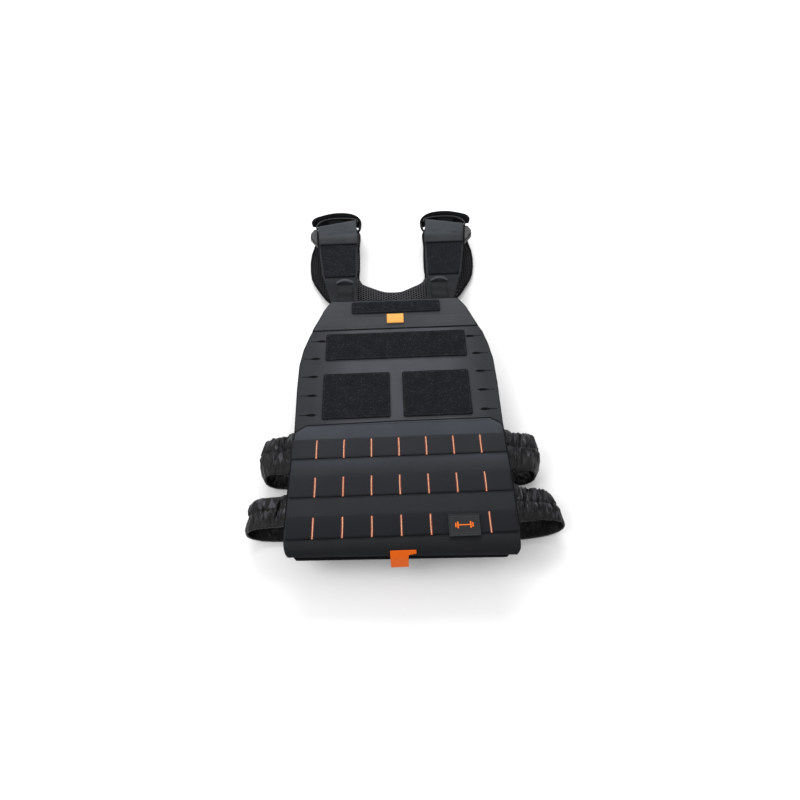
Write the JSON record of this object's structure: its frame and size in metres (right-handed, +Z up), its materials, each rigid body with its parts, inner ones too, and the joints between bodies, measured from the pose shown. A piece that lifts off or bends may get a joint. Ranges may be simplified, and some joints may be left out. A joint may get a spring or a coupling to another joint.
{
  "type": "weighted vest",
  "caption": "Plate-carrier style weighted vest laid flat, with padded front and back bags, webbing flap, gathered side bands, mesh shoulder yoke and ringed straps.",
  "frame": {"origin": "middle of the vest's plan, on the surface that it lies on", "axes": "+Z up, out of the front panel; +Y from the hem to the shoulders; +X to the right as seen from above with the shoulders at the top"},
  "size_m": [0.4338, 0.6832, 0.0668],
  "materials": {
    "nylon": "matt coated nylon cloth",
    "flap_cloth": "matt coated nylon cloth",
    "webbing": "flat woven webbing",
    "pile": "dense loop pile",
    "mesh_lining": "spacer mesh with round cells",
    "gathered_elastic": "gathered satin cloth over elastic",
    "strap_cloth": "smooth nylon",
    "orange_webbing": "woven ribbon",
    "moulded": "satin moulded plastic",
    "label_rubber": "soft rubber, satin"
  },
  "bodies": {
    "root": {"front_panel": "nylon", "back_panel": "nylon", "slotted_sheet": "nylon", "chest_flap": "nylon", "pile_top": "pile", "pile_wide": "pile", "pile_left": "pile", "pile_right": "pile", "waist_flap": "flap_cloth", "web_row_1": "webbing", "web_row_2": "webbing", "web_row_3": "webbing", "label_patch": "label_rubber", "chest_tab": "orange_webbing", "hem_tab": "orange_webbing", "side_band_upper_left": "gathered_elastic", "side_band_upper_right": "gathered_elastic", "side_band_lower_left": "gathered_elastic", "side_band_lower_right": "gathered_elastic", "yoke_pad": "mesh_lining", "shoulder_strap_left": "strap_cloth", "strap_pile_left": "pile", "strap_ring_left": "moulded", "release_latch_left": "moulded", "pad_tip_left": "mesh_lining", "ring_loop_left": "webbing", "strap_stub_left": "webbing", "strap_keeper_left": "webbing", "shoulder_strap_right": "strap_cloth", "strap_pile_right": "pile", "strap_ring_right": "moulded", "release_latch_right": "moulded", "pad_tip_right": "mesh_lining", "ring_loop_right": "webbing", "strap_stub_right": "webbing", "strap_keeper_right": "webbing"}
  },
  "joints": []
}
